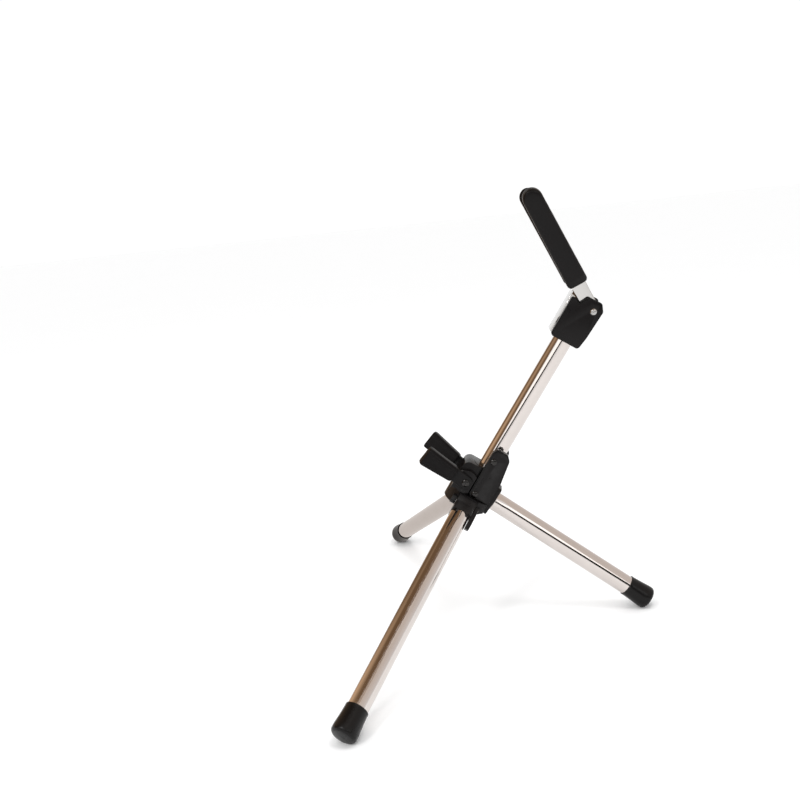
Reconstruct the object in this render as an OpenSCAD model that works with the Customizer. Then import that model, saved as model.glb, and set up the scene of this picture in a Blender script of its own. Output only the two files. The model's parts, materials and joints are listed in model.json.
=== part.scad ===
// Folding saxophone stand: three hinged legs on a hub, a leaning post,
// a lower yoke for the bow and two upper prongs for the bell.
// The front faces -X, the left side is -Y, and the feet stand on Z = 0.

/* [Stance] */
// Lean of the post behind the vertical, in degrees
post_lean = 34.2; // [30:0.1:38]
// Height of the hub centre above the floor
hub_height = 93.5; // [85:0.1:105]
// Distance of the hub centre from the middle of the stand, towards the front
hub_forward = 16.2; // [10:0.1:30]
// Angle between a front leg and the post
front_leg_angle = 126; // [120:0.5:132]
// Direction of a front leg round the post, from straight back
front_leg_azimuth = 95; // [90:0.5:100]
// Angle between the rear leg and the post
rear_leg_angle = 94; // [90:0.5:98]

/* [Tubes] */
// Outer diameter of every tube
tube_d = 13; // [12:0.1:13.4]
// Wall of every tube
tube_wall = 1.2; // [0.8:0.1:1.6]
// Height of the post tube above the hub centre
post_top = 140; // [130:1:141]

/* [Hub] */
// Radius of the hub's round base
base_r = 17; // [16.5:0.1:18]
// Depth of the base's lower face below the hub centre
base_bottom = 13; // [12:0.1:14]
// Half width of the hub core between its covers
hub_half_width = 8.3; // [8:0.1:8.3]
// Radius of the post socket
socket_r = 10.2; // [9:0.1:10.4]
// Height of the post socket above the hub centre
socket_top = 31; // [29:0.5:33]
// Sideways place of the front leg pins
front_pin_side = 14.8; // [14.8:0.1:15.4]
// Drop of the front leg pins below the hub centre
front_pin_drop = 9.55; // [9.5:0.05:10]
// Set of the front leg pins in front of the post's axis
front_pin_forward = 2.2; // [2:0.1:2.6]
// Outer face of a hub cover from the middle plane
cover_outer = 14; // [13:0.1:15]

/* [Feet] */
// Length of a rubber foot
foot_length = 18; // [16:0.5:20]
// Widest radius of a rubber foot
foot_r = 7.9; // [7.4:0.1:8.2]
// Edge radius of a rubber foot
foot_round = 2.5; // [2:0.1:3]
// Depth of the flat that each foot stands on
foot_flat = 0.4; // [0.2:0.05:0.6]

/* [Yoke] */
// Upward tilt of the yoke arms from square to the post
arm_tilt = 8.5; // [6:0.5:14]
// Outward splay of a yoke arm
arm_splay = 12; // [6:0.5:16]
// Length of a yoke arm from its pin
arm_length = 34.5; // [30:0.5:38]
// Height of a yoke arm's steel strip
arm_h = 9.4; // [8:0.1:9.6]
// Height of a yoke arm's rubber pad
pad_h = 13.8; // [12:0.1:15]

/* [Prongs] */
// Forward lean of the prongs from the post's direction
prong_angle = 58.5; // [54:0.5:62]
// Outward splay of a prong
prong_splay = 20; // [16:0.5:22]
// Length of a prong from its rivet to the sleeve's tip
prong_length = 93.5; // [90:0.5:98]
// Width of a prong's steel strip
strip_w = 9.4; // [8.6:0.1:9.6]
// Thickness of the steel strips
strip_t = 2; // [1.8:0.1:2]
// Width of a prong sleeve at its lower end
sleeve_w = 13.8; // [13:0.1:15]

/* [Hidden] */
$fn = 96;

chrome = [0.86, 0.84, 0.82];
nickel = [0.80, 0.79, 0.76];
black_plastic = [0.08, 0.08, 0.08];
black_rubber = [0.11, 0.11, 0.11];

fit = 0.05;                          // radial clearance of a pin in a turning part
seat = 0.03;                         // clearance between pieces fixed to each other
gap = 0.3;                           // air between pieces that move past each other
pin_r = 2;
tube_r = tube_d / 2;
bore_r = tube_r - tube_wall;

// Pin centres in the hub's frame
front_pin = [-front_pin_forward, -front_pin_side, -front_pin_drop];
yoke_pin = [-9.5, 0, 4.8];
post_rivet_z = 26;
post_bottom = 9.5;
hub_barrel_r = 9.5;
end_plug_l = 10;

// Front leg knuckle and the slot that it swings in
front_fold = 48;
knuckle_w = 13.4;
knuckle_half = 6.7;
knuckle_back = 6.2;
knuckle_front = 10;
slot_half = knuckle_w / 2 + gap;
front_pin_r = 1.6;
front_pin_l = 2 * slot_half + 6;
front_boss_r = 3.2;
front_boss_t = 3.4;
blade_t = 2.8;
blade_half = 3;
blade_l = 17.5;

// Yoke
arm_in = 15;
arm_t = 2.2;
arm_out = arm_in + arm_t;
arm_bend = 7.5;
arm_end_cover = 4;                   // rubber past the end of the arm
pad_t = 7.6;
pad_root_h = 10.6;
lug_out_r = 8;

// Rear leg knuckle
lug_t = 8.4;
lug_r = 6.2;
collar_in = 12.2;
collar_out = 15.2;
collar_size = [21, 13.4];
step_in = 10;
step_size = [17, 13];

// Upper bracket
bracket_bottom = 120;
bracket_top = 150;
bracket_front = -11.2;
bracket_back = 9.8;
bracket_core_half = 8;
bracket_pin_r = 1.5;
bracket_pin_z = (bracket_bottom + post_top) / 2;
channel_t = 1.5;
rivet_x = 6;
rivet_z = 145;
washer_t = 0.4;
strip_in = 10.1;
bracket_cover_in = strip_in + strip_t + 0.5;
bracket_cover_out = 15.2;
bend_at = 11;

// Prong sleeve
sleeve_start = 21.5;
sleeve_t = 8.4;
sleeve_tip_r = 6.1;
sleeve_end_cover = 5;                // rubber past the end of the strip

// Sine of a leg's slope below the horizontal, from its angle to the post
function slope_sin(azimuth, angle) =
    sin(post_lean) * sin(angle) * cos(azimuth) - cos(post_lean) * cos(angle);
// Height of a point in the hub's frame above the floor
function height(p) = hub_height - sin(post_lean) * p[0] + cos(post_lean) * p[2];
// Reach from a leg's pin to the end of its foot, so that the foot's edge meets the floor
// and the flat on it lies in the floor's plane
function leg_reach(pin, azimuth, angle) =
    let (s = slope_sin(azimuth, angle), c = sqrt(1 - s * s))
    (height(pin) + foot_flat - (foot_r - foot_round) * c - foot_round) / s + foot_round;

front_reach = leg_reach(front_pin, front_leg_azimuth, front_leg_angle);
rear_reach = leg_reach([0, 0, 0], 0, rear_leg_angle);

// ---- frames ----
module hub_frame() {
    translate([-hub_forward, 0, hub_height]) rotate([0, post_lean, 0]) children();
}
// Z runs along the left front leg and Y along its pin, towards the rear
module front_leg_frame() {
    translate(front_pin) rotate([0, 0, -front_leg_azimuth]) rotate([0, front_leg_angle, 0])
        children();
}
module rear_leg_frame() {
    hub_frame() rotate([0, rear_leg_angle, 0]) children();
}
module right_side() {
    mirror([0, 1, 0]) children();
}
// Z runs along the prong from its rivet
module prong_frame() {
    hub_frame() translate([rivet_x, 0, rivet_z]) rotate([0, -prong_angle, 0]) children();
}
// Z runs along the yoke arm from its pin
module arm_frame() {
    hub_frame() translate(yoke_pin) rotate([0, -90 + arm_tilt, 0])
        children();
}

// ---- shapes that repeat ----
// Rod along Y between two places
module rod_y(r, y0, y1) {
    translate([0, y0, 0]) rotate([-90, 0, 0]) cylinder(r = r, h = y1 - y0);
}
// Plate of constant thickness in the XZ plane, from y0 to y1
module plate_y(y0, y1) {
    translate([0, y1, 0]) rotate([90, 0, 0]) linear_extrude(y1 - y0) children();
}
// Low round rivet head on a face at y, pointing to -Y
module rivet_head(r, y) {
    head_h = 1.1;
    translate([0, y, 0]) rotate([90, 0, 0])
        rotate_extrude()
            intersection() {
                translate([0, head_h - 4.2]) circle(r = 4.2);
                square([r, head_h]);
            }
}
// Rectangle with round corners, centred
module rounded_rect(w, h, r) {
    square([w - 2 * r, h], center = true);
    square([w, h - 2 * r], center = true);
    for (x = [-1, 1], y = [-1, 1])
        translate([x * (w / 2 - r), y * (h / 2 - r)]) circle(r = r);
}
module tube(z0, z1) {
    translate([0, 0, z0]) difference() {
        cylinder(r = tube_r, h = z1 - z0);
        translate([0, 0, -1]) cylinder(r = bore_r, h = z1 - z0 + 2);
    }
}

// Flat strip that runs up from its pin's eye beside the middle plane and then splays to -Y.
// Both ends are round, and length is measured along the strip from the pin.
module bent_strip(w, t, inner_y, bend, splay, length) {
    mitre = t / 2 * tan(splay / 2);
    run = length - bend - w / 2;
    mid_y = -inner_y - t / 2;
    plate_y(-inner_y - t, -inner_y) {
        circle(r = w / 2);
        translate([-w / 2, 0]) square([w, bend - mitre]);
    }
    // the bend itself
    translate([-w / 2, 0, 0]) rotate([90, 0, 90]) linear_extrude(w)
        polygon([[-inner_y, bend - mitre], [-inner_y, bend + mitre],
                 [mid_y - mitre * sin(splay) + t / 2 * cos(splay),
                  bend + mitre * cos(splay) + t / 2 * sin(splay)],
                 [-inner_y - t, bend - mitre]]);
    translate([0, mid_y, bend]) rotate([splay, 0, 0]) plate_y(-t / 2, t / 2) {
        translate([-w / 2, mitre]) square([w, run - mitre]);
        translate([0, run]) circle(r = w / 2);
    }
}

// ---- post and hub ----
module post_tube() {
    color(chrome) hub_frame() difference() {
        tube(post_bottom, post_top);
        translate([0, 0, post_rivet_z]) rod_y(pin_r, -20, 20);
        translate([0, 0, bracket_pin_z]) rod_y(bracket_pin_r, -20, 20);
    }
}

module post_end_plug() {
    color(black_plastic) hub_frame() difference() {
        translate([0, 0, post_bottom]) cylinder(r = bore_r - seat, h = end_plug_l);
        translate([0, 0, post_bottom + 2]) cylinder(r = bore_r - 2, h = end_plug_l);
    }
}

// Space that the left front leg's knuckle sweeps between the open and the folded stance
module front_leg_slot() {
    r = knuckle_back + gap;
    side = knuckle_half + gap;
    far = 50;
    front_leg_frame() {
        rod_y(r, -slot_half, slot_half);
        plate_y(-slot_half, slot_half)
            polygon([[-side, 3], [-side, far], [far, far],
                     [far * sin(front_fold) + side * cos(front_fold),
                      far * cos(front_fold) - side * sin(front_fold)],
                     [side * cos(front_fold), -side * sin(front_fold)], [0, 0], [-r, 0]]);
    }
}
// Bosses for the left front leg's pin, and the blade that guides the leg
module front_leg_bosses() {
    rear = slot_half;
    front_leg_frame() {
        rod_y(front_boss_r, -slot_half - front_boss_t, -slot_half + 0.1);
        rod_y(front_boss_r, rear, rear + blade_t);
        plate_y(rear, rear + blade_t)
            polygon([[-blade_half, 0], [-blade_half, blade_l - 3], [-1, blade_l],
                     [blade_half, blade_l - 1.5], [blade_half, 0]]);
    }
}
// Round base, trimmed at the back where the rear leg's collar stands
module hub_base() {
    difference() {
        translate([0, 0, -base_bottom]) cylinder(r = base_r, h = base_bottom - 3);
        translate([11.5, -20, -20]) cube([20, 40, 30]);
        translate([5, -20, -base_bottom]) rotate([0, -27, 0]) translate([0, 0, -10])
            cube([30, 40, 10]);
    }
}
// Round socket for the post, with flats under the covers
module post_socket() {
    intersection() {
        union() {
            cylinder(r = socket_r, h = socket_top - 3);
            translate([0, 0, socket_top - 3]) cylinder(r1 = socket_r, r2 = socket_r - 3, h = 3);
        }
        translate([-20, -hub_half_width, -5]) cube([40, 2 * hub_half_width, 50]);
    }
}
// Block in front of the post that carries the yoke
module yoke_block() {
    half = 10.5;
    corner = 4.5;
    front = -16.3;
    back = -4.5;
    top = 17.4;
    plate_y(-half, half) {
        translate([front + corner, -4]) square([back - front - corner, top + 4]);
        translate([front, -4]) square([back - front, top + 4 - corner]);
        translate([front + corner, top - corner]) circle(r = corner);
    }
    intersection() {
        translate(yoke_pin) rod_y(lug_out_r, -arm_in + gap, arm_in - gap);
        translate([-30, -20, -20]) cube([30 + back, 40, 50]);
    }
}

module hub_core() {
    color(black_plastic) hub_frame() difference() {
        union() {
            post_socket();
            rod_y(hub_barrel_r, -hub_half_width, hub_half_width);
            translate([-9, -hub_half_width, -3]) cube([12, 2 * hub_half_width, 12]);
            translate([-3, -hub_half_width, 0]) cube([10, 2 * hub_half_width, socket_top - 3]);
            yoke_block();
            difference() {
                hub_base();
                // sweep of the rear leg's collar
                difference() {
                    translate([-10.8, -collar_size[1] / 2 - gap, -30])
                        cube([40, collar_size[1] + 2 * gap, 30]);
                    rod_y(hub_barrel_r, -20, 20);
                }
            }
            for (s = [0, 1]) mirror([0, s, 0]) front_leg_bosses();
        }
        // post socket, open at the front above the yoke
        translate([0, 0, post_bottom]) cylinder(r = tube_r + seat, h = 40);
        translate([-30, -20, 17.6]) cube([27, 40, 30]);
        // room for the rear leg's lug
        rod_y(lug_r + gap, -lug_t / 2 - gap, lug_t / 2 + gap);
        translate([-lug_r - gap, -lug_t / 2 - gap, -30])
            cube([50, lug_t + 2 * gap, 30]);
        translate([0, -lug_t / 2 - gap, -5]) cube([30, lug_t + 2 * gap, 5 + lug_r + gap]);
        // bores
        rod_y(pin_r + seat, -30, 30);
        translate([0, 0, post_rivet_z]) rod_y(pin_r + seat, -30, 30);
        translate(yoke_pin) rod_y(pin_r + seat, -30, 30);
        for (s = [0, 1]) mirror([0, s, 0]) {
            front_leg_slot();
            front_leg_frame() rod_y(front_pin_r + seat, -front_pin_l / 2, front_pin_l / 2);
        }
    }
}

// Outline of the left hub cover seen from the side
module hub_cover_outline() {
    offset(r = 2) offset(delta = -2)
        polygon([[-3.4, -2.9], [-3.4, 31.5], [-1.2, 34.8], [6.4, 34.4], [9.4, 31], [12, 14],
                 [12, -2.9]]);
}
module hub_cover_left() {
    bevel = 1.2;
    wall = 2.4;
    boss_r = 4.5;
    color(black_plastic) hub_frame() difference() {
        union() {
            plate_y(-cover_outer + bevel, -hub_half_width - seat) hub_cover_outline();
            plate_y(-cover_outer, -cover_outer + bevel) offset(delta = -0.8) hub_cover_outline();
        }
        // hollow behind the face, with a boss round each rivet
        plate_y(-cover_outer + wall, -hub_half_width + 1) difference() {
            offset(delta = -wall) hub_cover_outline();
            for (z = [0, post_rivet_z]) translate([0, z]) circle(r = boss_r);
        }
        for (z = [0, post_rivet_z])
            translate([0, 0, z]) rod_y(pin_r + seat, -20, -5);
    }
}
module hub_cover_right() {
    right_side() hub_cover_left();
}

// Through rivet with a low head on both covers
module cover_rivet() {
    rod_y(pin_r, -cover_outer, cover_outer);
    for (s = [0, 1]) mirror([0, s, 0]) rivet_head(2.3, -cover_outer);
}
module post_rivet() {
    color(nickel) hub_frame() translate([0, 0, post_rivet_z]) cover_rivet();
}
module rear_leg_pin() {
    color(nickel) hub_frame() cover_rivet();
}
module front_leg_pin_left() {
    color(nickel) hub_frame() front_leg_frame()
        rod_y(front_pin_r, -front_pin_l / 2, front_pin_l / 2);
}
module front_leg_pin_right() {
    right_side() front_leg_pin_left();
}
module yoke_pin() {
    color(black_plastic) hub_frame() translate(yoke_pin) {
        rod_y(pin_r, -arm_out, arm_out);
        for (s = [0, 1]) mirror([0, s, 0]) rivet_head(2.5, -arm_out);
    }
}

// ---- legs ----
module foot_profile() {
    // outer side from the thin mouth to the domed end, then the blind bore
    wide = foot_r - foot_round;
    dome_r = 20;
    difference() {
        union() {
            polygon([[0, 0], [tube_r + 0.45, 0], [tube_r + 0.7, 1.2],
                     [foot_r, foot_length - 5], [foot_r, foot_length - foot_round],
                     [0, foot_length - foot_round]]);
            translate([0, foot_length - foot_round]) square([wide, foot_round]);
            translate([wide, foot_length - foot_round]) circle(r = foot_round);
            intersection() {
                translate([0, foot_length + 0.7 - dome_r]) circle(r = dome_r);
                square([wide, foot_length + 2]);
            }
        }
        translate([-30, -1]) square([30 + tube_r + seat, foot_length - 5]);
        translate([-30, -30]) square([30, 90]);
    }
}
module foot(reach) {
    translate([0, 0, reach - foot_length]) rotate_extrude() foot_profile();
}
module below_floor() {
    translate([-400, -400, -20]) cube([800, 800, 20]);
}
module leg_tube(z0, reach) {
    tube(z0, reach - 6.2);
}
module spigot(z0, z1) {
    translate([0, 0, z0]) cylinder(r = bore_r - seat, h = z1 - z0);
}

module leg_knuckle_front_left() {
    corner = 2;
    color(black_plastic) hub_frame() front_leg_frame() difference() {
        union() {
            rod_y(knuckle_back, -knuckle_w / 2, knuckle_w / 2);
            translate([-knuckle_back, -knuckle_w / 2, 0])
                cube([2 * knuckle_back, knuckle_w, 4]);
            translate([0, 0, 4]) linear_extrude(knuckle_front - 4)
                rounded_rect(2 * knuckle_half, knuckle_w, corner);
            spigot(knuckle_front - 1, knuckle_front + 16);
        }
        rod_y(front_pin_r + fit, -20, 20);
    }
}
module leg_tube_front_left() {
    color(chrome) hub_frame() front_leg_frame() leg_tube(knuckle_front + seat, front_reach);
}
module leg_foot_front_left() {
    color(black_rubber) difference() {
        hub_frame() front_leg_frame() foot(front_reach);
        below_floor();
    }
}
module leg_knuckle_front_right() {
    right_side() leg_knuckle_front_left();
}
module leg_tube_front_right() {
    right_side() leg_tube_front_left();
}
module leg_foot_front_right() {
    right_side() leg_foot_front_left();
}

module leg_knuckle_rear() {
    corner = 2.5;
    color(black_plastic) rear_leg_frame() difference() {
        union() {
            rod_y(lug_r, -lug_t / 2, lug_t / 2);
            translate([-lug_r, -lug_t / 2, 0]) cube([2 * lug_r, lug_t, step_in + 1]);
            translate([0, 0, step_in]) linear_extrude(collar_in - step_in)
                rounded_rect(step_size[0], step_size[1], corner);
            translate([0, 0, collar_in]) linear_extrude(collar_out - collar_in)
                rounded_rect(collar_size[0], collar_size[1], corner);
            spigot(collar_out - 1, collar_out + 16);
        }
        rod_y(pin_r + fit, -20, 20);
    }
}
module leg_tube_rear() {
    color(chrome) rear_leg_frame() leg_tube(collar_out + seat, rear_reach);
}
module leg_foot_rear() {
    color(black_rubber) difference() {
        rear_leg_frame() foot(rear_reach);
        below_floor();
    }
}

// ---- yoke ----
module yoke_arm_left() {
    color(black_plastic) arm_frame() difference() {
        bent_strip(arm_h, arm_t, arm_in, arm_bend, arm_splay,
                   arm_length - arm_end_cover);
        rod_y(pin_r + fit, -20, -5);
    }
}
// Z runs along the splayed part of the left arm
module arm_outer() {
    translate([0, -(arm_in + arm_out) / 2, arm_bend]) rotate([arm_splay, 0, 0]) children();
}
module yoke_pad_left() {
    start = 2.2;
    end = arm_length - arm_bend;
    color(black_rubber) arm_frame() arm_outer() difference() {
        hull() {
            translate([0, 0, start]) linear_extrude(1) rounded_rect(pad_root_h, pad_t, 2);
            translate([0, 0, end - 3]) linear_extrude(0.5) rounded_rect(pad_h, pad_t, 2);
            translate([0, 0, end - 0.5]) linear_extrude(0.5) rounded_rect(pad_h - 4, pad_t - 3, 2);
        }
        translate([-arm_h / 2 - seat, -arm_t / 2 - seat, -1])
            cube([arm_h + 2 * seat, arm_t + 2 * seat, end - arm_end_cover - arm_h / 2 + 1]);
        translate([0, 0, end - arm_end_cover - arm_h / 2])
            rod_y(arm_h / 2 + seat, -arm_t / 2 - seat, arm_t / 2 + seat);
    }
}
module yoke_arm_right() {
    right_side() yoke_arm_left();
}
module yoke_pad_right() {
    right_side() yoke_pad_left();
}

// ---- upper bracket ----
module bracket_core() {
    color(black_plastic) hub_frame() difference() {
        translate([bracket_front + channel_t + seat, -bracket_core_half, bracket_bottom])
            cube([bracket_back - bracket_front - channel_t - seat - 0.6,
                  2 * bracket_core_half, bracket_top - bracket_bottom - 1]);
        translate([0, 0, bracket_bottom - 1])
            cylinder(r = tube_r + seat, h = post_top - bracket_bottom + 1.2);
        translate([rivet_x, 0, rivet_z]) rod_y(pin_r + seat, -30, 30);
        translate([0, 0, bracket_pin_z]) rod_y(bracket_pin_r + seat, -30, 30);
    }
}

module bracket_channel() {
    wall_in = bracket_core_half + seat;
    wall_out = wall_in + channel_t;
    color(chrome) hub_frame() difference() {
        translate([bracket_front, -wall_out, bracket_bottom + 0.5])
            cube([bracket_back - bracket_front, 2 * wall_out, bracket_top - bracket_bottom - 0.5]);
        translate([bracket_front + channel_t, -wall_in, bracket_bottom - 1])
            cube([40, 2 * wall_in, 40]);
        translate([rivet_x, 0, rivet_z]) rod_y(pin_r + seat, -30, 30);
        translate([0, 0, bracket_pin_z]) rod_y(bracket_pin_r + seat, -30, 30);
    }
}

module bracket_pin() {
    half = bracket_core_half + channel_t;
    color(nickel) hub_frame() translate([0, 0, bracket_pin_z]) rod_y(bracket_pin_r, -half, half);
}

// Outline of the left bracket cover seen from the side
module bracket_cover_outline() {
    offset(r = 2.2) offset(delta = -2.2)
        polygon([[-10.6, 119], [9.8, 119], [11, 128], [11.8, 147.5], [8.4, 152.2], [-1.2, 151.6],
                 [-4.4, 145.4], [-8, 147.6], [-10.6, 149.2]]);
}
// Part of the cover that stands against the channel and stops the prong
module bracket_stop_outline() {
    intersection() {
        bracket_cover_outline();
        polygon([[-12, 118], [-2, 118], [-2, 136], [-1.3, 140.2], [-5, 144.6], [-12, 149]]);
    }
}
module bracket_cover_left() {
    bevel = 1.2;
    color(black_plastic) hub_frame() difference() {
        union() {
            plate_y(-bracket_cover_out + bevel, -bracket_cover_in) bracket_cover_outline();
            plate_y(-bracket_cover_in - 0.1, -bracket_core_half - channel_t - 2 * seat)
                bracket_stop_outline();
            plate_y(-bracket_cover_out, -bracket_cover_out + bevel)
                offset(delta = -0.8) bracket_cover_outline();
        }
        translate([rivet_x, 0, rivet_z]) rod_y(pin_r + seat, -30, -5);
    }
}
module bracket_cover_right() {
    right_side() bracket_cover_left();
}

module prong_rivet() {
    color(nickel) hub_frame() translate([rivet_x, 0, rivet_z]) {
        rod_y(pin_r, -bracket_cover_out, bracket_cover_out);
        for (s = [0, 1]) mirror([0, s, 0]) rivet_head(2.15, -bracket_cover_out);
    }
}
// Thin washers beside each prong strip
module prong_washers() {
    channel_out = bracket_core_half + channel_t + seat;
    color(nickel) hub_frame() translate([rivet_x, 0, rivet_z])
        for (s = [0, 1]) mirror([0, s, 0]) {
            washer(-channel_out - washer_t);
            washer(-bracket_cover_in);
        }
}
module washer(y0) {
    difference() {
        rod_y(3.8, y0, y0 + washer_t);
        rod_y(pin_r + seat, y0 - 1, y0 + 2);
    }
}

// ---- prongs ----
module prong_outer() {
    translate([0, -strip_in - strip_t / 2, bend_at]) rotate([prong_splay, 0, 0]) children();
}
module prong_strip_left() {
    color(chrome) prong_frame() difference() {
        bent_strip(strip_w, strip_t, strip_in, bend_at, prong_splay,
                   prong_length - sleeve_end_cover);
        rod_y(pin_r + fit, -20, -5);
    }
}
module prong_sleeve_left() {
    start = sleeve_start - bend_at;
    end = prong_length - bend_at;
    color(black_rubber) prong_frame() prong_outer() difference() {
        hull() {
            translate([0, 0, start]) linear_extrude(0.5) rounded_rect(sleeve_w - 3, sleeve_t - 2.4, 2.4);
            translate([0, 0, start + 3]) linear_extrude(0.5) rounded_rect(sleeve_w, sleeve_t, 3);
            translate([0, 0, end - sleeve_tip_r]) rotate([90, 0, 0])
                translate([0, 0, -2.4]) cylinder(r = sleeve_tip_r, h = 4.8, $fn = 32);
            translate([0, 0, end - sleeve_tip_r]) rotate([90, 0, 0])
                translate([0, 0, -3.7]) cylinder(r = sleeve_tip_r - 2, h = 7.4, $fn = 32);
        }
        translate([-strip_w / 2 - seat, -strip_t / 2 - seat, 0])
            cube([strip_w + 2 * seat, strip_t + 2 * seat, end - sleeve_end_cover - strip_w / 2]);
        translate([0, 0, end - sleeve_end_cover - strip_w / 2])
            rod_y(strip_w / 2 + seat, -strip_t / 2 - seat, strip_t / 2 + seat);
    }
}
module prong_strip_right() {
    right_side() prong_strip_left();
}
module prong_sleeve_right() {
    right_side() prong_sleeve_left();
}

post_tube();
post_end_plug();
hub_core();
hub_cover_left();
hub_cover_right();
post_rivet();
rear_leg_pin();
front_leg_pin_left();
front_leg_pin_right();
yoke_pin();
leg_knuckle_front_left();
leg_tube_front_left();
leg_foot_front_left();
leg_knuckle_front_right();
leg_tube_front_right();
leg_foot_front_right();
leg_knuckle_rear();
leg_tube_rear();
leg_foot_rear();
yoke_arm_left();
yoke_pad_left();
yoke_arm_right();
yoke_pad_right();
bracket_core();
bracket_channel();
bracket_pin();
bracket_cover_left();
bracket_cover_right();
prong_rivet();
prong_washers();
prong_strip_left();
prong_sleeve_left();
prong_strip_right();
prong_sleeve_right();
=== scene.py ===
"""Looks for the folding saxophone stand.

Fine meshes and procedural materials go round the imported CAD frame.
"""

import json
import math

import bmesh
import bpy
import numpy as np
from mathutils import Matrix, Vector


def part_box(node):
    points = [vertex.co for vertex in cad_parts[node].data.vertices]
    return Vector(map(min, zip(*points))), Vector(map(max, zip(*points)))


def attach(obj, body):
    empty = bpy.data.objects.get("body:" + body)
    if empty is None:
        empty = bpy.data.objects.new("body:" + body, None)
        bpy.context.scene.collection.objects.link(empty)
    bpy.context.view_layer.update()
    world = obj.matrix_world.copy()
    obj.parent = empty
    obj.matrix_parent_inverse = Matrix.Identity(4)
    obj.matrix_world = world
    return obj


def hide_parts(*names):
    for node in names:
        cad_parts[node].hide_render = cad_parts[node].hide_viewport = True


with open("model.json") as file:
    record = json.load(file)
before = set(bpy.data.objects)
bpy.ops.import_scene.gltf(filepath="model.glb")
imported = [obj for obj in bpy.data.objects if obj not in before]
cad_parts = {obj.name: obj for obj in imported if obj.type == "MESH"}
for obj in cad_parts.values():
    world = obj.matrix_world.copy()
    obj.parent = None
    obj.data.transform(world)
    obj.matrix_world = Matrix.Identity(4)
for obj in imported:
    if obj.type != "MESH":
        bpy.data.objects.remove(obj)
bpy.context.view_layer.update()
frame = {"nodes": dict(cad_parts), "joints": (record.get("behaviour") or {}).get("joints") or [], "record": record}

JOINTS = {j["name"]: j for j in frame["joints"]}
BODY_OF = {n: b for b, names in frame["record"]["behaviour"]["bodies"].items() for n in names}
SLOT_OF = {s["node"]: s["material_slot"] for s in frame["record"]["subparts"]}
HUB = Vector(JOINTS["rear_leg_fold"]["pos_m"])
# lean about +Y from upright and splay from the middle plane, in degrees
POST_LEAN = 34.2
PRONG_TURN, PRONG_SPLAY = POST_LEAN - 58.5, 20.0
ARM_TURN, ARM_SPLAY = POST_LEAN - 90.0 + 8.5, 12.0
# radius of the tiny ring that closes a turned profile on its axis
ON_AXIS = 0.00001


# ---------------------------------------------------------------- shader helpers
def new_material(name, **values):
    """A Principled material whose constant values sit on the shader's own sockets."""
    m = bpy.data.materials.new(name)
    m.use_nodes = True
    shader = m.node_tree.nodes["Principled BSDF"]
    for key, value in values.items():
        shader.inputs[key.replace("_", " ")].default_value = value
    return m, m.node_tree, shader


def node(tree, kind, inputs=(), **settings):
    """A new node, with its settings and with each input linked or given its value."""
    n = tree.nodes.new(kind)
    for key, value in settings.items():
        setattr(n, key, value)
    for key, value in dict(inputs).items():
        if isinstance(value, bpy.types.NodeSocket):
            tree.links.new(value, n.inputs[key])
        else:
            n.inputs[key].default_value = value
    return n


def noise(tree, coords, scale, detail=3.0, roughness=0.5, stretch=(1, 1, 1)):
    """Noise over stretched coordinates."""
    mapped = node(tree, "ShaderNodeMapping", {"Vector": coords, "Scale": stretch})
    return node(tree, "ShaderNodeTexNoise", {"Vector": mapped.outputs[0], "Scale": scale,
                                             "Detail": detail, "Roughness": roughness}).outputs["Fac"]


def remap(tree, value, low, high, to_low, to_high):
    """The value carried from one range to another, and held inside it."""
    n = node(tree, "ShaderNodeMapRange", {"Value": value, "From Min": low, "From Max": high,
                                          "To Min": to_low, "To Max": to_high})
    return n.outputs["Result"]


def blend_colours(tree, factor, a, b):
    """The colour or socket a at factor 0 and the colour b at factor 1."""
    n = node(tree, "ShaderNodeMix", {"Factor": factor, "B": (*b, 1)}, data_type="RGBA")
    if isinstance(a, bpy.types.NodeSocket):
        tree.links.new(a, n.inputs["A"])
    else:
        n.inputs["A"].default_value = (*a, 1)
    return n.outputs["Result"]


def bump(tree, height, strength, distance, normal=None):
    """A normal pushed by the height, on top of another normal if one is given."""
    inputs = {"Height": height, "Strength": strength, "Distance": distance}
    if normal is not None:
        inputs["Normal"] = normal
    return node(tree, "ShaderNodeBump", inputs).outputs["Normal"]


# ---------------------------------------------------------------- materials
def chrome(name, tint, coords):
    """Bright plating: faint drawn lines along the piece, a little haze and slight colour drift."""
    m, t, shader = new_material(name, Metallic=1.0)
    tc = node(t, "ShaderNodeTexCoord")
    where = tc.outputs[coords]
    along, scale = ((60, 1.2, 1), 7.0) if coords == "UV" else ((1, 1, 1), 900.0)
    lines = noise(t, where, scale, 4.0, 0.6, along)
    haze = noise(t, tc.outputs["Object"], 45.0, 4.0, 0.6)
    dust = noise(t, tc.outputs["Object"], 420.0, 3.0, 0.55)
    tone = blend_colours(t, remap(t, haze, 0.35, 0.7, 0, 1), tint, tuple(0.95 * c for c in tint))
    t.links.new(tone, shader.inputs["Base Color"])
    rough = node(t, "ShaderNodeMath", {0: remap(t, haze, 0.3, 0.75, 0.06, 0.12),
                                       1: remap(t, dust, 0.55, 0.8, 0.0, 0.06)}, operation="ADD")
    t.links.new(rough.outputs[0], shader.inputs["Roughness"])
    drawn = bump(t, lines, 0.12, 0.00003)
    t.links.new(bump(t, haze, 0.05, 0.0003, drawn), shader.inputs["Normal"])
    return m


WORN_GAIN = 0.012
DUST = (0.035, 0.033, 0.031)


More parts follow.
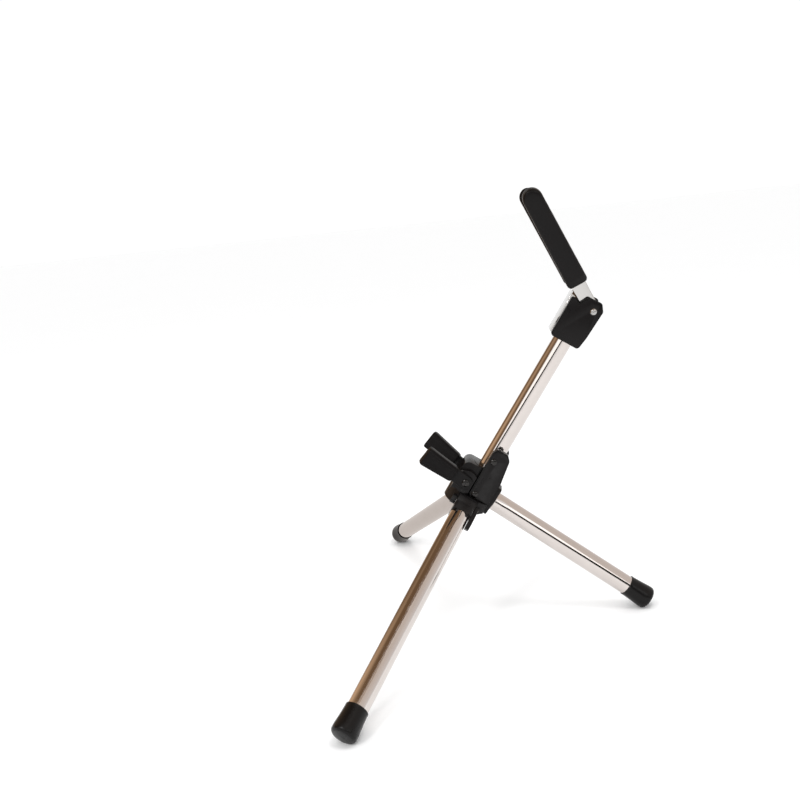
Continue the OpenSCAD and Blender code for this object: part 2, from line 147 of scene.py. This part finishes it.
def moulded_black(name, base, rough, grain_scale, grain_depth, specular):
    """Moulded plastic or rubber: fine grain, uneven sheen, and slightly paler worn edges."""
    m, t, shader = new_material(name, Specular_IOR_Level=specular)
    where = node(t, "ShaderNodeTexCoord").outputs["Object"]
    cloud = noise(t, where, 60.0, 5.0, 0.6)
    grain = noise(t, where, grain_scale, 2.0, 0.5)
    specks = noise(t, where, 1500.0, 2.0, 0.6)
    geometry = node(t, "ShaderNodeNewGeometry")
    worn = remap(t, geometry.outputs["Pointiness"], 0.52, 0.60, 0, 1)
    scuffed = node(t, "ShaderNodeMath", {0: worn, 1: remap(t, cloud, 0.4, 0.65, 0, 1)},
                   operation="MULTIPLY")
    body = blend_colours(t, remap(t, cloud, 0.35, 0.7, 0, 1), base, tuple(1.35 * c for c in base))
    edged = blend_colours(t, scuffed.outputs[0], body, tuple(c + WORN_GAIN for c in base))
    dusty = blend_colours(t, remap(t, specks, 0.70, 0.82, 0, 0.3), edged, DUST)
    t.links.new(dusty, shader.inputs["Base Color"])
    t.links.new(remap(t, cloud, 0.3, 0.75, rough - 0.06, rough + 0.08), shader.inputs["Roughness"])
    grained = bump(t, grain, 0.35, grain_depth)
    t.links.new(bump(t, cloud, 0.12, 0.0004, grained), shader.inputs["Normal"])
    return m


def rivet_metal(name, base, rough):
    """Headed rivet steel: a little uneven in tone, with small dings."""
    m, t, shader = new_material(name, Metallic=1.0)
    where = node(t, "ShaderNodeTexCoord").outputs["Object"]
    dings = noise(t, where, 700.0, 3.0, 0.6)
    cloud = noise(t, where, 220.0, 3.0, 0.5)
    tone = blend_colours(t, remap(t, cloud, 0.35, 0.7, 0, 1), base, tuple(0.7 * c for c in base))
    t.links.new(tone, shader.inputs["Base Color"])
    t.links.new(remap(t, dings, 0.3, 0.7, rough - 0.05, rough + 0.12), shader.inputs["Roughness"])
    t.links.new(bump(t, dings, 0.25, 0.00006), shader.inputs["Normal"])
    return m


# black pieces: base colour, roughness, grain's scale and depth, and specular level
BLACKS = {
    "black_plastic": ((0.0052, 0.0043, 0.0043), 0.29, 1500.0, 0.00002, 0.17),
    "black_steel": ((0.0042, 0.0036, 0.0036), 0.30, 2200.0, 0.00002, 0.15),
    "foot_rubber": ((0.004, 0.0034, 0.0033), 0.28, 1900.0, 0.00002, 0.19),
    "pad_rubber": ((0.0042, 0.0034, 0.0034), 0.42, 2600.0, 0.00005, 0.12),
    "sleeve_rubber": ((0.0045, 0.0036, 0.0036), 0.34, 2400.0, 0.00003, 0.14),
}
MATERIALS = {
    "chrome_tube": chrome("chrome_tube", (0.65, 0.60, 0.572), "UV"),
    "chrome_strip": chrome("chrome_strip", (0.56, 0.545, 0.53), "Object"),
    **{slot: moulded_black(slot, *look) for slot, look in BLACKS.items()},
    "dark_rivet": rivet_metal("dark_rivet", (0.045, 0.043, 0.042), 0.12),
    "bright_rivet": rivet_metal("bright_rivet", (0.50, 0.49, 0.48), 0.16),
}


# ---------------------------------------------------------------- mesh helpers
def finish_piece(piece, replaced):
    """Gives a piece its material, its body and its slot, and lets it stand for its CAD node."""
    piece.data.materials.clear()
    piece.data.materials.append(MATERIALS[SLOT_OF[replaced]])
    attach(piece, BODY_OF[replaced])
    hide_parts(replaced)
    return piece


def add_object(name, mesh):
    """An object in the scene that shows the mesh."""
    piece = bpy.data.objects.new(name, mesh)
    bpy.context.collection.objects.link(piece)
    return piece


def cad_points(name):
    """The vertices of a CAD node, in metres."""
    co = np.empty(len(frame["nodes"][name].data.vertices) * 3)
    frame["nodes"][name].data.vertices.foreach_get("co", co)
    return co.reshape(-1, 3)


def softened(name, width):
    """A copy of a CAD node with its sharp edges rounded to that width."""
    mesh = frame["nodes"][name].data.copy()
    mesh.name = name + "_soft"
    bm = bmesh.new()
    bm.from_mesh(mesh)
    bmesh.ops.remove_doubles(bm, verts=bm.verts, dist=2e-6)
    bmesh.ops.dissolve_degenerate(bm, dist=2e-6, edges=bm.edges)
    bmesh.ops.dissolve_limit(bm, angle_limit=math.radians(0.4), verts=bm.verts, edges=bm.edges)
    bm.to_mesh(mesh)
    bm.free()
    piece = add_object(name + "_soft", mesh)
    bevel = piece.modifiers.new("round_edges", "BEVEL")
    bevel.width = width
    bevel.segments = 3
    bevel.limit_method = "ANGLE"
    bevel.angle_limit = math.radians(28)
    bevel.harden_normals = False
    bevel.use_clamp_overlap = True
    bake_modifiers(piece)
    smooth(piece, 35)
    return finish_piece(piece, name)


def bake_modifiers(piece):
    """Replaces the piece's mesh with its modified mesh."""
    graph = bpy.context.evaluated_depsgraph_get()
    made = bpy.data.meshes.new_from_object(piece.evaluated_get(graph))
    made.name = piece.name
    piece.modifiers.clear()
    piece.data = made


def smooth(piece, angle):
    """Smooth shading, but for edges sharper than the angle, in degrees."""
    for polygon in piece.data.polygons:
        polygon.use_smooth = True
    piece.data.set_sharp_from_angle(angle=math.radians(angle))


def long_axis(name):
    """Start point, unit direction away from the hub, length and radius of a CAD tube."""
    points = cad_points(name)
    centre = points.mean(0)
    direction = np.linalg.svd(points - centre, full_matrices=False)[2][0]
    if Vector(direction).dot(Vector(centre) - HUB) < 0:
        direction = -direction
    along = (points - centre) @ direction
    radius = np.linalg.norm(points - centre - np.outer(along, direction), axis=1).max()
    start = centre + direction * along.min()
    return Vector(start), Vector(direction), float(np.ptp(along)), float(radius)


def frame_matrix(origin, z_axis, y_hint):
    """A frame at the origin with Z along z_axis and Y as near y_hint as it can be."""
    z = z_axis.normalized()
    x = y_hint.cross(z).normalized()
    y = z.cross(x)
    return Matrix(((x.x, y.x, z.x, origin.x), (x.y, y.y, z.y, origin.y),
                   (x.z, y.z, z.z, origin.z), (0, 0, 0, 1)))


UV_LENGTH = 0.05


def lathe(name, profile, matrix, steps, closed=True):
    """Turns (radius, height) points about the matrix's Z axis, with UVs round and along."""
    verts, faces, uvs = [], [], []
    rows = len(profile)
    reach = [0.0]
    for a, b in zip(profile, profile[1:]):
        reach.append(reach[-1] + math.dist(a, b))
    for i in range(steps):
        angle = 2 * math.pi * i / steps
        for r, h in profile:
            verts.append(matrix @ Vector((r * math.cos(angle), r * math.sin(angle), h)))
    loops = rows if closed else rows - 1
    for i in range(steps):
        for j in range(loops):
            k = (j + 1) % rows
            n = (i + 1) % steps
            faces.append((i * rows + j, n * rows + j, n * rows + k, i * rows + k))
            u0, u1 = i / steps, (i + 1) / steps
            v0 = reach[j] / UV_LENGTH
            v1 = (reach[k] if k else reach[j] + math.dist(profile[j], profile[0])) / UV_LENGTH
            uvs += [(u0, v0), (u1, v0), (u1, v1), (u0, v1)]
    mesh = bpy.data.meshes.new(name)
    mesh.from_pydata(verts, [], faces)
    layer = mesh.uv_layers.new(name="along")
    for loop, uv in zip(layer.data, uvs):
        loop.uv = uv
    bm = bmesh.new()
    bm.from_mesh(mesh)
    bmesh.ops.remove_doubles(bm, verts=bm.verts, dist=1e-7)
    bmesh.ops.recalc_face_normals(bm, faces=bm.faces)
    bm.to_mesh(mesh)
    bm.free()
    return add_object(name, mesh)


def arc(cx, cy, r, start, end, steps):
    """Points of an arc in a profile, angles in degrees."""
    return [(cx + r * math.cos(math.radians(start + (end - start) * i / steps)),
             cy + r * math.sin(math.radians(start + (end - start) * i / steps)))
            for i in range(steps + 1)]


def loft(name, rings, matrix):
    """Skins closed rings of points, given from end to end in the matrix's frame, and caps them."""
    count = len(rings[0])
    verts = [matrix @ Vector(p) for ring in rings for p in ring]
    faces = []
    for i in range(len(rings) - 1):
        for j in range(count):
            k = (j + 1) % count
            faces.append((i * count + j, i * count + k, (i + 1) * count + k, (i + 1) * count + j))
    faces.append(tuple(reversed(range(count))))
    faces.append(tuple(range((len(rings) - 1) * count, len(rings) * count)))
    mesh = bpy.data.meshes.new(name)
    mesh.from_pydata(verts, [], faces)
    bm = bmesh.new()
    bm.from_mesh(mesh)
    bmesh.ops.recalc_face_normals(bm, faces=bm.faces)
    bm.to_mesh(mesh)
    bm.free()
    return add_object(name, mesh)


# ---------------------------------------------------------------- tubes and feet
TUBE_WALL = 0.0012
RIM = 0.0004


def fine_tube(name):
    """A drawn tube with rounded rims, hollow from end to end."""
    start, direction, length, r = long_axis(name)
    hint = Vector((0, 1, 0)) if abs(direction.y) < 0.5 else Vector((1, 0, 0))
    inner = r - TUBE_WALL
    profile = (arc(inner + RIM, RIM, RIM, 180, 270, 4) + arc(r - RIM, RIM, RIM, 270, 360, 4)
               + [(r, length * k / 12) for k in range(1, 12)]
               + arc(r - RIM, length - RIM, RIM, 0, 90, 4)
               + arc(inner + RIM, length - RIM, RIM, 90, 180, 4))
    piece = lathe(name + "_fine", profile, frame_matrix(start, direction, hint), 128)
    smooth(piece, 60)
    return finish_piece(piece, name)


def fine_foot(name, tube):
    """A flared rubber tip: thin rounded mouth, slight waist, round bottom edge, flat where it stands."""
    start, direction, length, r = long_axis(tube)
    points = cad_points(name)
    along = (points - np.array(start)) @ np.array(direction)
    mouth, end = float(along.min()), float(along.max())
    off = points - np.array(start) - np.outer(along, np.array(direction))
    wide = float(np.linalg.norm(off, axis=1).max())
    tall = end - mouth
    bore = r + 0.00005
    lip = 0.0004
    corner = 0.0026
    mouth_wall = 0.0006
    mouth_end = 0.0012
    fillet = 0.0008
    flare_end = tall - 0.0052
    floor_in = tall - 0.005
    flare_steps = 14
    flare = []
    for k in range(flare_steps + 1):
        s = k / flare_steps
        h = mouth_end + s * (flare_end - mouth_end)
        flare.append((r + mouth_wall + (wide - r - mouth_wall) * (0.55 * s + 0.45 * s * s), h))
    profile = ([(ON_AXIS, floor_in), (bore - fillet, floor_in), (bore, floor_in - fillet),
                (bore, lip)]
               + arc(bore + lip, lip, lip, 180, 300, 5)
               + flare
               + arc(wide - corner, tall - corner - 0.0004, corner, 8, 78, 8)
               + [(wide * 0.42, tall - 0.00015), (ON_AXIS, tall)])
    hint = Vector((0, 1, 0)) if abs(direction.y) < 0.5 else Vector((1, 0, 0))
    piece = lathe(name + "_fine", profile, frame_matrix(start + direction * mouth, direction, hint),
                  128, closed=False)
    for vertex in piece.data.vertices:
        vertex.co.z = max(vertex.co.z, 0.0)
    smooth(piece, 50)
    return finish_piece(piece, name)


fine_tube("post_tube")
for side in ("front_left", "front_right", "rear"):
    fine_tube("leg_tube_" + side)
    fine_foot("leg_foot_" + side, "leg_tube_" + side)


# ---------------------------------------------------------------- moulded and bent pieces
for name, width in (("hub_core", 0.00045), ("hub_cover_left", 0.0006), ("hub_cover_right", 0.0006),
                    ("leg_knuckle_front_left", 0.0005), ("leg_knuckle_front_right", 0.0005),
                    ("leg_knuckle_rear", 0.0006), ("bracket_core", 0.0004),
                    ("bracket_channel", 0.0004), ("bracket_cover_left", 0.0006),
                    ("bracket_cover_right", 0.0006), ("yoke_arm_left", 0.0005),
                    ("yoke_arm_right", 0.0005), ("prong_strip_left", 0.0004),
                    ("prong_strip_right", 0.0004)):
    softened(name, width)


def rivet(name, head_r, head_h, shank_r):
    """A through rivet along Y: at each end a low dome, whose rim is rim_angle down from its
    crown, with a small centre dimple."""
    low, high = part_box(name)
    centre = (low + high) / 2
    half = (high.y - low.y) / 2
    face = half - head_h
    edge = 0.0002
    rim_angle = 62
    rim_sin, rim_cos = math.sin(math.radians(rim_angle)), math.cos(math.radians(rim_angle))
    dome = [(head_r * math.sin(math.radians(a)) / rim_sin,
             face + edge + (head_h - edge) * (math.cos(math.radians(a)) - rim_cos) / (1 - rim_cos))
            for a in range(rim_angle, 8, -6)]
    dimple = arc(0, half + 0.0003, 0.0006, 320, 270, 4)
    end = [(shank_r, face), (head_r, face)] + dome + [(max(x, ON_AXIS), y) for x, y in dimple]
    profile = [(x, -y) for x, y in reversed(end)] + end
    piece = lathe(name + "_fine", profile, frame_matrix(Vector((centre.x, 0, centre.z)),
                                                        Vector((0, 1, 0)), Vector((0, 0, 1))),
                  64, closed=False)
    smooth(piece, 40)
    return finish_piece(piece, name)


rivet("post_rivet", 0.0023, 0.001, 0.002)
rivet("rear_leg_pin", 0.0023, 0.001, 0.002)
rivet("yoke_pin", 0.0025, 0.0009, 0.002)
rivet("prong_rivet", 0.00215, 0.0011, 0.002)


# ---------------------------------------------------------------- rubber sleeves and pads
def splayed_frame(name, turn, splay):
    """Frame and size of a splayed rubber piece: Z along it, X across its broad face.
    turn is its lean about +Y from upright and splay its angle away from the middle plane."""
    points = cad_points(name)
    side = -1 if points[:, 1].mean() < 0 else 1
    axes = (Matrix.Rotation(math.radians(turn), 3, "Y")
            @ Matrix.Rotation(-side * math.radians(splay), 3, "X"))
    local = points @ np.array(axes)
    low, high = local.min(0), local.max(0)
    origin = axes @ Vector(((low[0] + high[0]) / 2, (low[1] + high[1]) / 2, low[2]))
    return Matrix.Translation(origin) @ axes.to_4x4(), Vector(high - low)


def squircle(half_x, half_y, power, count):
    """Closed ring between an ellipse and a rectangle."""
    ring = []
    for i in range(count):
        a = 2 * math.pi * i / count
        c, s = math.cos(a), math.sin(a)
        ring.append((half_x * math.copysign(abs(c) ** (2 / power), c),
                     half_y * math.copysign(abs(s) ** (2 / power), s)))
    return ring


def sleeve(name):
    """Vinyl sleeve: broad flat faces, a sloped lower end, a gentle taper and a rounded, rimmed tip."""
    matrix, size = splayed_frame(name, PRONG_TURN, PRONG_SPLAY)
    w, t, tall = size
    stations, low_stations, tip_stations = 70, 12, 22
    chamfer = 0.0052
    low_part = chamfer * 1.2
    tip = w / 2 * 0.92
    middle_stations = stations - low_stations - tip_stations
    rings = []
    for i in range(stations + 1):
        if i < low_stations:
            h = low_part * i / low_stations
        elif i > stations - tip_stations:
            a = math.radians(90 * (i - (stations - tip_stations)) / tip_stations)
            h = tall - tip + tip * math.sin(a)
        else:
            h = low_part + (tall - tip - low_part) * (i - low_stations) / middle_stations
        s = h / tall
        half_x = w / 2 * (1 - 0.11 * s)
        half_y = t / 2 * (1 - 0.10 * s)
        if h < chamfer:
            k = h / chamfer
            half_y *= 0.62 + 0.38 * min(1, k) ** 0.9
            half_x *= 1 - 0.13 * (1 - min(1, k * 2.2)) ** 2
        if h > tall - tip:
            k = math.sqrt(max(0.0, 1 - ((h - tall + tip) / tip) ** 2))
            half_x *= max(k, 0.02)
            half_y *= 0.45 + 0.55 * k ** 0.7 if k > 0.12 else 0.42 * max(k / 0.12, 0.05)
        wave = 1 + 0.004 * math.sin(h * 900) * (0.4 + s)
        rings.append([(x * wave, y, h) for x, y in squircle(half_x, half_y, 3.6, 56)])
    piece = loft(name + "_fine", rings, matrix)
    smooth(piece, 40)
    return finish_piece(piece, name)


def ridged_pad(name):
    """Yoke pad, wider at its tip: lengthwise ridges on both broad faces, plain rounded ends."""
    matrix, size = splayed_frame(name, ARM_TURN, ARM_SPLAY)
    w, t, tall = size
    stations = 44
    ridges = 7
    depth = 0.00032
    end = 0.0024
    rings = []
    for i in range(stations + 1):
        h = tall * (0.5 - 0.5 * math.cos(math.pi * i / stations))
        k = min(1.0, min(h, tall - h) / end)
        close = math.sqrt(max(0.0, 1 - (1 - k) ** 2))
        half_x = w / 2 * (0.78 + 0.22 * h / tall) * (0.86 + 0.14 * close)
        half_y = t / 2 * (0.70 + 0.30 * close)
        ring = []
        for x, y in squircle(half_x, half_y, 5.0, 168):
            if abs(y) > half_y * 0.86:
                phase = (x / half_x) * ridges * math.pi
                y -= math.copysign(depth * (0.5 + 0.5 * math.cos(phase)) * close, y)
            ring.append((x, y, h))
        rings.append(ring)
    piece = loft(name + "_fine", rings, matrix)
    smooth(piece, 40)
    return finish_piece(piece, name)


for side in ("left", "right"):
    sleeve("prong_sleeve_" + side)
    ridged_pad("yoke_pad_" + side)

# the CAD nodes still shown, such as the inner pins and washers
for name, node_object in frame["nodes"].items():
    if not node_object.hide_render:
        node_object.data.materials.clear()
        node_object.data.materials.append(MATERIALS[SLOT_OF[name]])


# ---------------------------------------------------------------- stage, light and camera
AIM = Vector((0, 0, 0.12))


def softbox(name, place, width, power):
    """A square area light turned to the stand."""
    data = bpy.data.lights.new(name, "AREA")
    data.shape = "RECTANGLE"
    data.size, data.size_y = width, width
    data.energy = power
    light = bpy.data.objects.new(name, data)
    bpy.context.collection.objects.link(light)
    light.location = place
    light.rotation_euler = (AIM - Vector(place)).to_track_quat("-Z", "Y").to_euler()


def make_floor():
    """A plain pale floor."""
    size = 12.0
    mesh = bpy.data.meshes.new("floor")
    mesh.from_pydata([(-size, -size, 0), (size, -size, 0), (size, size, 0), (-size, size, 0)], [],
                     [(0, 1, 2, 3)])
    floor = add_object("floor", mesh)
    m, t, shader = new_material("floor", Roughness=0.9, Specular_IOR_Level=0.1)
    where = node(t, "ShaderNodeTexCoord").outputs["Object"]
    tone = blend_colours(t, noise(t, where, 3.0), (0.955, 0.955, 0.955), (0.965, 0.965, 0.965))
    t.links.new(tone, shader.inputs["Base Color"])
    mesh.materials.append(m)


def make_world():
    """Even white light from all round."""
    world = bpy.data.worlds.new("studio")
    world.use_nodes = True
    background = world.node_tree.nodes["Background"]
    background.inputs["Color"].default_value = (1.0, 1.0, 1.0, 1)
    background.inputs["Strength"].default_value = 1.03
    bpy.context.scene.world = world


def reflected_only(name, mesh, dark, light=None):
    """A panel that only reflections see. Its "tone" runs from dark at 0 to light at 1."""
    card = add_object(name, mesh)
    m = bpy.data.materials.new(name)
    m.use_nodes = True
    tree = m.node_tree
    tree.nodes.clear()
    glow = tree.nodes.new("ShaderNodeEmission")
    glow.inputs["Color"].default_value = (*dark, 1)
    if light:
        tone = tree.nodes.new("ShaderNodeAttribute")
        tone.attribute_name = "tone"
        tree.links.new(blend_colours(tree, tone.outputs["Fac"], dark, light), glow.inputs["Color"])
    out = tree.nodes.new("ShaderNodeOutputMaterial")
    tree.links.new(glow.outputs[0], out.inputs["Surface"])
    mesh.materials.append(m)
    card.visible_camera = False
    card.visible_diffuse = False
    card.visible_shadow = False
    card.visible_transmission = False


def ring_card(name, azimuth, low, high, distance, colour):
    """Part of an upright ring round the stand. Azimuth 0 is in front of it and 90 to its right."""
    steps = 24
    verts = []
    for i in range(steps + 1):
        a = math.radians(azimuth[0] + (azimuth[1] - azimuth[0]) * i / steps)
        verts += [(distance * math.sin(a), -distance * math.cos(a), z) for z in (low, high)]
    mesh = bpy.data.meshes.new(name)
    mesh.from_pydata(verts, [], [(2 * i, 2 * i + 2, 2 * i + 3, 2 * i + 1) for i in range(steps)])
    reflected_only(name, mesh, colour)


def brass_tone(azimuth, elevation):
    """Streaks of an instrument's reflection: light to the left, dark in front, behind and above."""
    streak = 0.5 + 0.5 * math.cos(math.radians((azimuth + 97) * 4.8))
    side = max(0.0, min(1.0, streak * (58 - elevation) / 30))
    return side + 0.22 * math.exp(-((elevation - 52) / 9) ** 2)


def even_tone(azimuth, elevation):
    """Slightly lighter low down."""
    return max(0.0, 1 - elevation / 50)


def dome_card(name, azimuth, elevation, distance, dark, light, tone):
    """Part of a dome round the hub, between two azimuths and two elevations."""
    steps, rows = 60, 30
    verts, tones = [], []
    for i in range(steps + 1):
        a = azimuth[0] + (azimuth[1] - azimuth[0]) * i / steps
        for k in range(rows + 1):
            e = elevation[0] + (elevation[1] - elevation[0]) * k / rows
            level = distance * math.cos(math.radians(e))
            verts.append((HUB.x + level * math.sin(math.radians(a)),
                          HUB.y - level * math.cos(math.radians(a)),
                          HUB.z + distance * math.sin(math.radians(e))))
            tones.append(tone(a, e))
    faces = []
    for i in range(steps):
        for k in range(rows):
            c = i * (rows + 1) + k
            faces.append((c, c + rows + 1, c + rows + 2, c + 1))
    mesh = bpy.data.meshes.new(name)
    mesh.from_pydata(verts, [], faces)
    mesh.attributes.new("tone", "FLOAT", "POINT").data.foreach_set("value", tones)
    reflected_only(name, mesh, dark, light)


def floor_card(name, low, high, colour):
    """A flat panel just above the floor."""
    z = 0.0008
    mesh = bpy.data.meshes.new(name)
    mesh.from_pydata([(low[0], low[1], z), (high[0], low[1], z), (high[0], high[1], z),
                      (low[0], high[1], z)], [], [(0, 1, 2, 3)])
    reflected_only(name, mesh, colour)


def make_camera():
    """The camera stands at the left, slightly above the hub, and is tilted a little."""
    yaw, pitch, roll = (math.radians(a) for a in (7.0, 11.7, -6.1))
    hub_right, hub_up, hub_ahead = 0.0519, -0.0609, 0.6564
    level = Vector((math.cos(yaw), math.sin(yaw), 0))
    ahead_level = Vector((-math.sin(yaw), math.cos(yaw), 0))
    ahead = ahead_level * math.cos(pitch) - Vector((0, 0, math.sin(pitch)))
    up_level = Vector((0, 0, math.cos(pitch))) + ahead_level * math.sin(pitch)
    right = level * math.cos(roll) + up_level * math.sin(roll)
    up = up_level * math.cos(roll) - level * math.sin(roll)
    data = bpy.data.cameras.new("camera")
    data.lens = 42.75
    data.sensor_width = 36.0
    data.clip_start = 0.01
    camera = bpy.data.objects.new("camera", data)
    bpy.context.collection.objects.link(camera)
    place = HUB - right * hub_right - up * hub_up - ahead * hub_ahead
    camera.matrix_world = Matrix(((right.x, up.x, -ahead.x, place.x),
                                  (right.y, up.y, -ahead.y, place.y),
                                  (right.z, up.z, -ahead.z, place.z), (0, 0, 0, 1)))
    bpy.context.scene.camera = camera


make_floor()
make_world()
make_camera()
# softboxes for the highlights on the black pieces
softbox("key", (-0.55, -0.9, 0.95), 0.22, 3.2)
softbox("top", (0.25, -0.25, 1.1), 0.30, 2.2)
# what the plating reflects, as glowing panels that only reflections see: a dark gap in front with bright panels
# above it, a painted reflection of an instrument's brass to the left and above, and grey to the right
GAP = (0.015, 0.013, 0.012)
DARK_BRASS, ROOF_BRASS, LIGHT_BRASS = (0.20, 0.118, 0.062), (0.34, 0.26, 0.20), (0.72, 0.485, 0.30)
DARK_GREY, LIGHT_GREY = (0.76, 0.67, 0.60), (0.86, 0.82, 0.80)
SHADE = (0.78, 0.74, 0.71)
ring_card("left_gap_card", (-52, 6), 0.135, 0.275, 1.05, GAP)
ring_card("right_gap_card", (6, 62), 0.075, 0.335, 1.05, GAP)
ring_card("left_panel_card", (-45, -14), 0.29, 0.62, 1.10, (1.7, 1.68, 1.65))
ring_card("right_panel_card", (18, 54), 0.34, 0.66, 1.10, (1.9, 1.88, 1.85))
# painted reflection: brass-toned glowing domes stand in for the instrument that the plating would mirror
for name, azimuth, elevation, dark in (("warm_card", (-158, -47), (-7, 62), DARK_BRASS),
                                       ("roof_card", (-180, 180), (62, 89.9), DARK_BRASS),
                                       ("front_roof_card", (-47, 36), (51, 62), ROOF_BRASS)):
    dome_card(name, azimuth, elevation, 0.42, dark, LIGHT_BRASS, brass_tone)
for name, azimuth, elevation in (("grey_card", (52, 165), (2, 80)),
                                 ("grey_top_card", (-12, 52), (38, 80))):
    dome_card(name, azimuth, elevation, 0.80, DARK_GREY, LIGHT_GREY, even_tone)
# painted shade: a grey panel that only reflections see, on the floor behind and to the left, standing in for an
# instrument's shadow there
floor_card("shade_card", (-0.9, 0.06), (0.0, 1.6), SHADE)
bpy.context.scene.view_settings.view_transform = "Standard"
